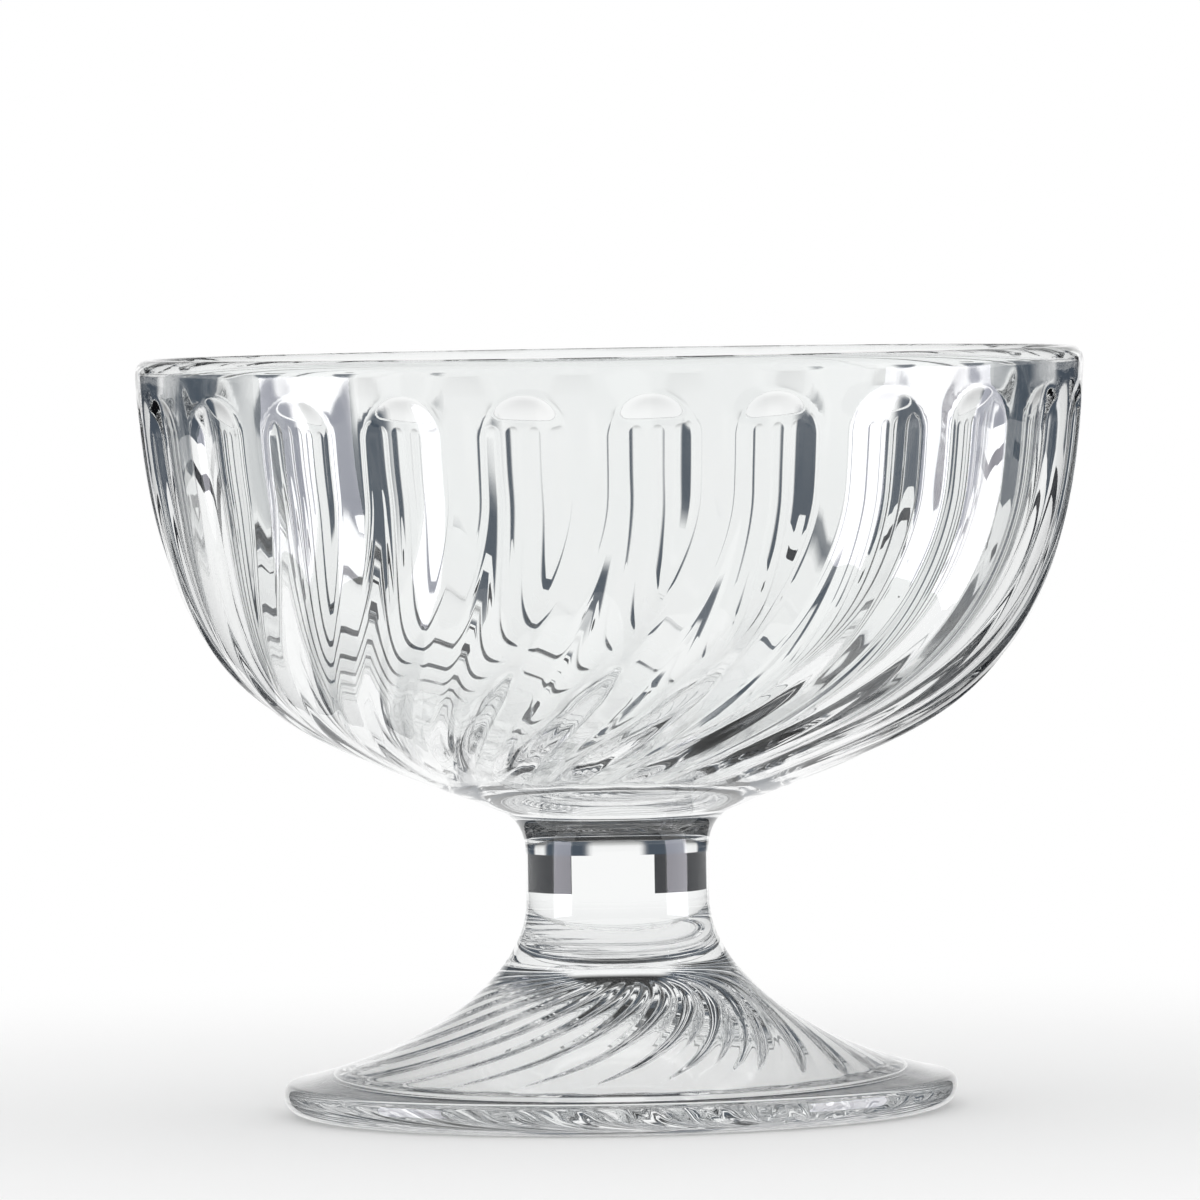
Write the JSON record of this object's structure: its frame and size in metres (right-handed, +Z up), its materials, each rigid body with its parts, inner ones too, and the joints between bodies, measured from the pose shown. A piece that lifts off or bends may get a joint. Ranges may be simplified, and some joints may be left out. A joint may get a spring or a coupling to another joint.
{
  "type": "ice cream glass",
  "caption": "Footed glass bowl for ice cream, with swirled outer flutes, a smooth inside, a short solid stem and a hollow round foot.",
  "frame": {"origin": "centre of the flat standing ring under the foot, on the surface that the glass stands on", "axes": "+Z up along the axis of the stem and bowl; -Y faces the viewer of the picture"},
  "size_m": [0.105, 0.105, 0.084],
  "materials": {
    "bowl_glass": "clear pressed glass, fire polished",
    "stem_glass": "clear solid glass, fire polished",
    "foot_glass": "clear pressed glass, with light wear on the standing ring"
  },
  "bodies": {
    "root": {"bowl": "bowl_glass", "stem": "stem_glass", "foot": "foot_glass"}
  },
  "joints": []
}
